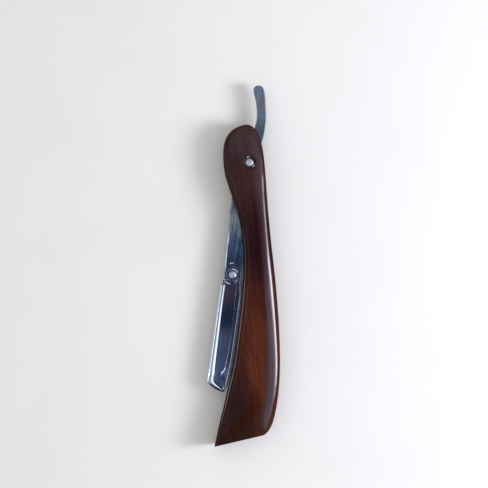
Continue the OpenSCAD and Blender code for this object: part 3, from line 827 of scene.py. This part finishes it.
def makeCover():
    c = cover
    outer = smoothRow([r[0:2] for r in c["rim"]], c["rowSteps"])
    inner = smoothRow([r[2:4] for r in c["rim"]], c["rowSteps"])
    kinds = [min(max(p.x, 0), 3) for p in smoothRow([(r[4], 0) for r in c["rim"]], c["rowSteps"])]
    bm = bmesh.new()
    polishAndSheen = bm.verts.layers.float.new("polishAndSheen")
    for k in range(c["rings"]):
        spots, shines = [], []
        for start, stop, kind in zip(outer, inner, kinds):
            low = min(int(kind), 2)
            before, after = (Vector(shape) for shape in rimShapes(k, start.y)[low:low + 2])
            share, high, shine = before.lerp(after, kind - low)
            spot = start.lerp(stop, share)
            spots.append((spot.x, spot.y, high))
            shines.append(shine)
        ring = nextRing(bm, ring, spots, closed=False) if k else startRing(bm, spots, closed=False)
        for vert, shine in zip(ring, shines):
            vert[polishAndSheen] = shine
    neckTurn = atan2(c["neck"][1], c["neck"][0]) % (2 * pi)
    earTurn = atan2(ring[-1].co.y, ring[-1].co.x)
    span = neckTurn - earTurn - c["earStart"]
    turns = [earTurn + c["earStart"] + span * k / c["earSteps"] for k in range(c["earSteps"] + 1)]
    arc = [bm.verts.new((c["ear"] * cos(a), c["ear"] * sin(a), c["high"])) for a in turns]
    neck = bm.verts.new((c["neck"][0], c["rim"][0][1] + c["neckRise"], c["high"]))
    chain = [ring[-1]] + arc + [neck, ring[0]]
    for pair in zip(chain, chain[1:]):
        bm.edges.new(pair)
    ways = inwardWays([v.co.xy for v in chain], closed=False)
    spots = [v.co + way.to_3d() * c["capStep"] for v, way in zip(chain, ways)]
    inside = nextRing(bm, chain, spots, closed=False)
    bmesh.ops.weld_verts(bm, targetmap={inside[0]: ring[-1], inside[-1]: ring[0]})
    inside = [ring[-1]] + inside[1:-1] + [ring[0]]
    hole = startRing(bm, [(p.x, p.y, c["high"]) for p in circleRow(c["bore"], holeSteps)])
    caps = ringEdges(bm, ring, False) + ringEdges(bm, inside, False) + ringEdges(bm, hole)
    bmesh.ops.triangle_fill(bm, use_beauty=True, edges=caps, normal=(0, 0, 1))
    mirrorDown(bm)
    bmesh.ops.recalc_face_normals(bm, faces=bm.faces)
    if sum(f.normal.z * f.calc_center_median().z for f in bm.faces) < 0:
        bmesh.ops.reverse_faces(bm, faces=bm.faces)
    mesh = toMesh("coverChrome", bm, atHolder, c["sharp"], closed=False)
    piece = showPiece("coverChrome", mesh, mirrorChrome, "cover", ["holder_cover"])
    piece.modifiers.clear()
    wall = piece.modifiers.new("Sheet", "SOLIDIFY")
    wall.thickness, wall.offset = c["sheet"] * mm, -1
    soft = piece.modifiers.new("BrokenEdges", "BEVEL")
    soft.width, soft.segments = c["brokenEdge"] * mm, 2
    soft.limit_method, soft.angle_limit = "ANGLE", radians(c["brokenFrom"])
    evenNormals(piece)


makeCover()


# Half blade

blade = {
    "back": -3.785, "low": 0.67, "half": 0.05, "rim": 0.015, "heel": -3.05, "length": 42.8, "wide": 11,
    "end": 2.65, "tab": 7.3, "edge": 37.5, "slotDeep": 0.9, "slotShare": 0.7, "stud": 1.1, "sharp": 20,
    "ground": 1.0, "thinned": 0.92,
}


def makeBlade():
    b = blade
    heel, toe = b["heel"], b["heel"] - b["length"]
    back, tip, tab = b["back"], b["back"] + b["wide"], b["back"] + b["tab"]
    edgeLow = toe + b["end"]
    edgeTop = edgeLow + b["edge"]
    slotLow = heel - b["length"] / 2 - b["length"] * b["slotShare"] / 2
    studX, studY = tang["studAt"][1]
    row = [(back, heel), (tab, heel), (tab, edgeTop), (tip, edgeTop), (tip, edgeLow), (tab, edgeLow),
           (tab, toe), (back, toe), (back, studY - b["stud"])]
    turns = [radians(a) for a in range(-90, 91, 15)]
    row += [(studX + b["stud"] * cos(a), studY + b["stud"] * sin(a)) for a in turns]
    row += [(back, studY + b["stud"]), (back, slotLow), (back + b["slotDeep"], slotLow)]
    bm = raisePlate([Vector(p) for p in row], b["half"], b["rim"], b["rim"], 1)
    groundFrom = tip - b["ground"]
    bmesh.ops.bisect_plane(bm, geom=wholeOf(bm), dist=0.0001, plane_co=(groundFrom, 0, 0), plane_no=(1, 0, 0))
    for vert in bm.verts:  # the ground edge tapers to nothing
        beyond = (vert.co.x - groundFrom) / b["ground"]
        if beyond > 0.01:
            vert.co.z *= 1 - b["thinned"] * beyond
    lift = Matrix.Translation((0, 0, (b["low"] + b["half"]) * mm))
    mesh = toMesh("halfBlade", bm, atHolder @ lift, b["sharp"])
    showPiece("halfBlade", mesh, bladeSteel, "blade", ["half_blade"])


makeBlade()


# Nodes kept from the frame

keptNodes = {"butt_spacer": spacerWood, "near_thrust_washer": turnedBrass, "far_thrust_washer": turnedBrass,
             "blade_studs": polishedPin}
for nodeName, finish in keptNodes.items():
    slots = cadNodes[nodeName].data.materials
    slots.clear()
    slots.append(finish)
print("kept nodes dressed:", ", ".join(keptNodes))


# Floor, light and camera

studio = {
    "floor": "#efeeec", "mottle": "#e8e7e5", "floorHalf": 1.6,
    "span": 0.2076, "lens": 120, "sensor": 36, "aim": (0.00019, 0.00925, 0.0085), "fill": 0.63,
    "overhead": (  # straight above, by Y from the toe to the tail
        (-0.12, (0.04, 0.045, 0.05)), (-0.10, (0.055, 0.065, 0.08)), (-0.09, (0.11, 0.14, 0.25)),
        (-0.08, (0.11, 0.14, 0.265)), (-0.066, (0.062, 0.092, 0.175)), (-0.057, (0.14, 0.142, 0.22)),
        (-0.050, (0.015, 0.029, 0.067)), (-0.038, (0.015, 0.029, 0.065)), (-0.034, (0.096, 0.058, 0.086)),
        (-0.029, (0.090, 0.056, 0.086)), (-0.024, (0.055, 0.075, 0.14)), (0.02, (0.055, 0.075, 0.14)),
        (0.035, (0.14, 0.11, 0.13)), (0.05, (0.20, 0.16, 0.24)), (0.062, (0.42, 0.34, 0.50)),
        (0.09, (0.34, 0.33, 0.50)), (0.13, (0.3, 0.33, 0.44))),
    "leftSky": (  # by the lean in degrees, as the next two are
        (-180, (0.3, 0.3, 0.3)), (-92, (0.35, 0.35, 0.36)), (-70, (0.40, 0.46, 0.50)),
        (-34, (0.36, 0.46, 0.54)), (-28, (0.25, 0.28, 0.35)), (-26.5, (1.45, 1.56, 1.6)),
        (-17, (1.45, 1.56, 1.6)), (-15.5, (0.10, 0.12, 0.18)), (-5, (0.0, 0.0, 0.0))),
    "rightHigh": (
        (3, (0.0, 0.0, 0.0)), (5.7, (0.42, 0.20, 0.29)), (8, (0.74, 0.41, 0.58)), (20, (0.85, 0.60, 0.82)),
        (38, (1.6, 1.3, 1.8)), (58, (2.1, 1.7, 2.3)), (66, (1.2, 1.0, 1.2)), (76, (0.2, 0.2, 0.2)),
        (92, (0.12, 0.12, 0.12))),
    "rightLow": (
        (2, (0.0, 0.0, 0.0)), (3.5, (0.05, 0.05, 0.08)), (4.6, (0.06, 0.12, 0.17)), (5.7, (0.12, 0.37, 0.50)),
        (7.2, (0.63, 1.3, 2.0)), (12, (0.9, 1.6, 2.5)), (20, (1.1, 2.3, 3.7)), (28, (2.4, 3.1, 4.2)),
        (38, (3.5, 4.2, 5.0)), (50, (3.5, 4.0, 5.0)), (62, (2.5, 2.8, 3.2)), (72, (0.5, 0.5, 0.55)),
        (92, (0.15, 0.15, 0.15))),
    "beside": (0.036, 0.042, 0.072, 1),  # just right of overhead, seen by the cover's lips
    "besideLean": ((0.2, 0.9), (12, 7)), "besideFrom": (0.03, 0.0),
    "dimLean": (0.5, -0.9), "dimTo": (0.03, 0.05, 0.15, 0.9),  # overhead, left of the middle
    "leftFrom": (0.060, 0.022, 0.12, 1), "leftSide": (-0.04, -0.11),
    "rightTurn": (0.03, -0.06), "rightReach": ((-0.24, -0.15), (0.17, 0.11)),
    "farToe": (-0.52, -0.34, 0.12, 1),
    "lamps": (  # name, lean to the right, lean up the picture, distance, width, length, radiance, colour
        ("keyCore", 57.5, -9.6, 0.60, 0.16, 0.18, 14.5, (0.93, 0.93, 1.06)),
        ("keyLong", 60.5, -4.2, 0.61, 0.235, 0.20, 7.5, (0.93, 0.93, 1.06)),
        ("keyGlow", 44, -9.7, 0.6, 0.115, 0.193, 6.0, (0.90, 0.94, 1)),
        ("leftLow", -80, 19, 0.6, 0.08, 0.25, 3.6, (0.98, 0.99, 1))),
}


def makeFloor():
    bm = bmesh.new()
    bmesh.ops.create_grid(bm, x_segments=8, y_segments=8, size=studio["floorHalf"])
    mesh = bpy.data.meshes.new("paleFloor")
    bm.to_mesh(mesh)
    bm.free()
    material, tree, shader = newMaterial("paleCard")
    mottle = times(tree, useGroup(tree, handlingGroup, {"Size": 30})["Smudge"], 0.25)
    tone = blendColour(tree, mottle, paint(studio["floor"]), paint(studio["mottle"]))
    feed(tree, shader, {"Base Color": tone, "Roughness": 0.8, "Specular IOR Level": 0.1})
    mesh.materials.append(material)
    floor = bpy.data.objects.new("paleFloor", mesh)
    scene.collection.objects.link(floor)


def makeLamp(name, right, up, distance, width, length, radiance, colour):
    data = bpy.data.lights.new(name, "AREA")
    data.shape, data.size, data.size_y = "RECTANGLE", width, length
    data.energy = radiance * pi * width * length
    data.color = colour
    lamp = bpy.data.objects.new(name, data)
    right, up = radians(right), radians(up)
    way = Vector((sin(right), cos(right) * sin(up), cos(right) * cos(up)))
    out = way.normalized()
    side = Vector((0, 1, 0)).cross(out).normalized()
    turn = Matrix((side, out.cross(side), out)).transposed().to_4x4()
    lamp.matrix_world = Matrix.Translation(Vector(studio["aim"]) + way * distance) @ turn
    scene.collection.objects.link(lamp)


def makeWorld():
    world = bpy.data.worlds.new("softStudio")
    world.use_nodes = True
    tree = world.node_tree
    tree.nodes.clear()
    s, black = studio, (0, 0, 0, 1)
    way = splitPlace(tree, addNode(tree, "ShaderNodeTexCoord").outputs["Generated"])
    x, y, z = way["X"], way["Y"], way["Z"]
    lean = times(tree, sums(tree, "ARCTAN2", x, z), 180 / pi)
    right = blendColour(tree, spread(tree, y, *s["rightTurn"]), readRow(tree, lean, s["rightHigh"]),
                        readRow(tree, lean, s["rightLow"]))
    dimmer = spread(tree, lean, *s["dimLean"], spread(tree, y, *s["dimTo"]), 1)
    above = blendColour(tree, dimmer, black, readRow(tree, y, s["overhead"]))
    beside = times(tree, window(tree, lean, *s["besideLean"]), spread(tree, y, *s["besideFrom"]))
    above = blendColour(tree, 1.0, above, blendColour(tree, beside, black, s["beside"]), "ADD")
    low = sums(tree, "MINIMUM", y, 0)
    flat = sums(tree, "SQRT", sums(tree, "ADD", times(tree, x, x), times(tree, low, low)))
    ringLean = times(tree, sums(tree, "ARCTAN2", flat, z), -180 / pi)  # bends round the toe
    share = times(tree, spread(tree, y, *s["leftFrom"]), spread(tree, x, *s["leftSide"]))
    left = blendColour(tree, share, black, readRow(tree, ringLean, s["leftSky"]))
    tone = blendColour(tree, 1.0, above, left, "ADD")
    tone = blendColour(tree, spread(tree, y, *s["farToe"]), black, tone)
    lit = blendColour(tree, 1.0, tone, right, "ADD")
    tone = blendColour(tree, window(tree, y, *s["rightReach"]), tone, lit)
    glossy = addNode(tree, "ShaderNodeLightPath").outputs["Is Glossy Ray"]
    tone = blendColour(tree, glossy, (s["fill"],) * 3 + (1,), tone)
    sky = addNode(tree, "ShaderNodeBackground", None, {"Color": tone, "Strength": 1.0})
    addNode(tree, "ShaderNodeOutputWorld", None, {"Surface": sky.outputs[0]})
    scene.world = world


def makeCamera():
    data = bpy.data.cameras.new("camera")
    data.sensor_width, data.lens, data.sensor_fit = studio["sensor"], studio["lens"], "HORIZONTAL"
    data.clip_start, data.clip_end = 0.01, 20
    camera = bpy.data.objects.new("camera", data)
    height = studio["span"] * studio["lens"] / studio["sensor"]
    camera.location = Vector(studio["aim"]) + Vector((0, 0, height))
    scene.collection.objects.link(camera)
    scene.camera = camera


makeFloor()
for lamp in studio["lamps"]:
    makeLamp(*lamp)
makeWorld()
makeCamera()
scene.view_settings.view_transform = "Standard"
print("studio ready")

bpy.context.view_layer.update()
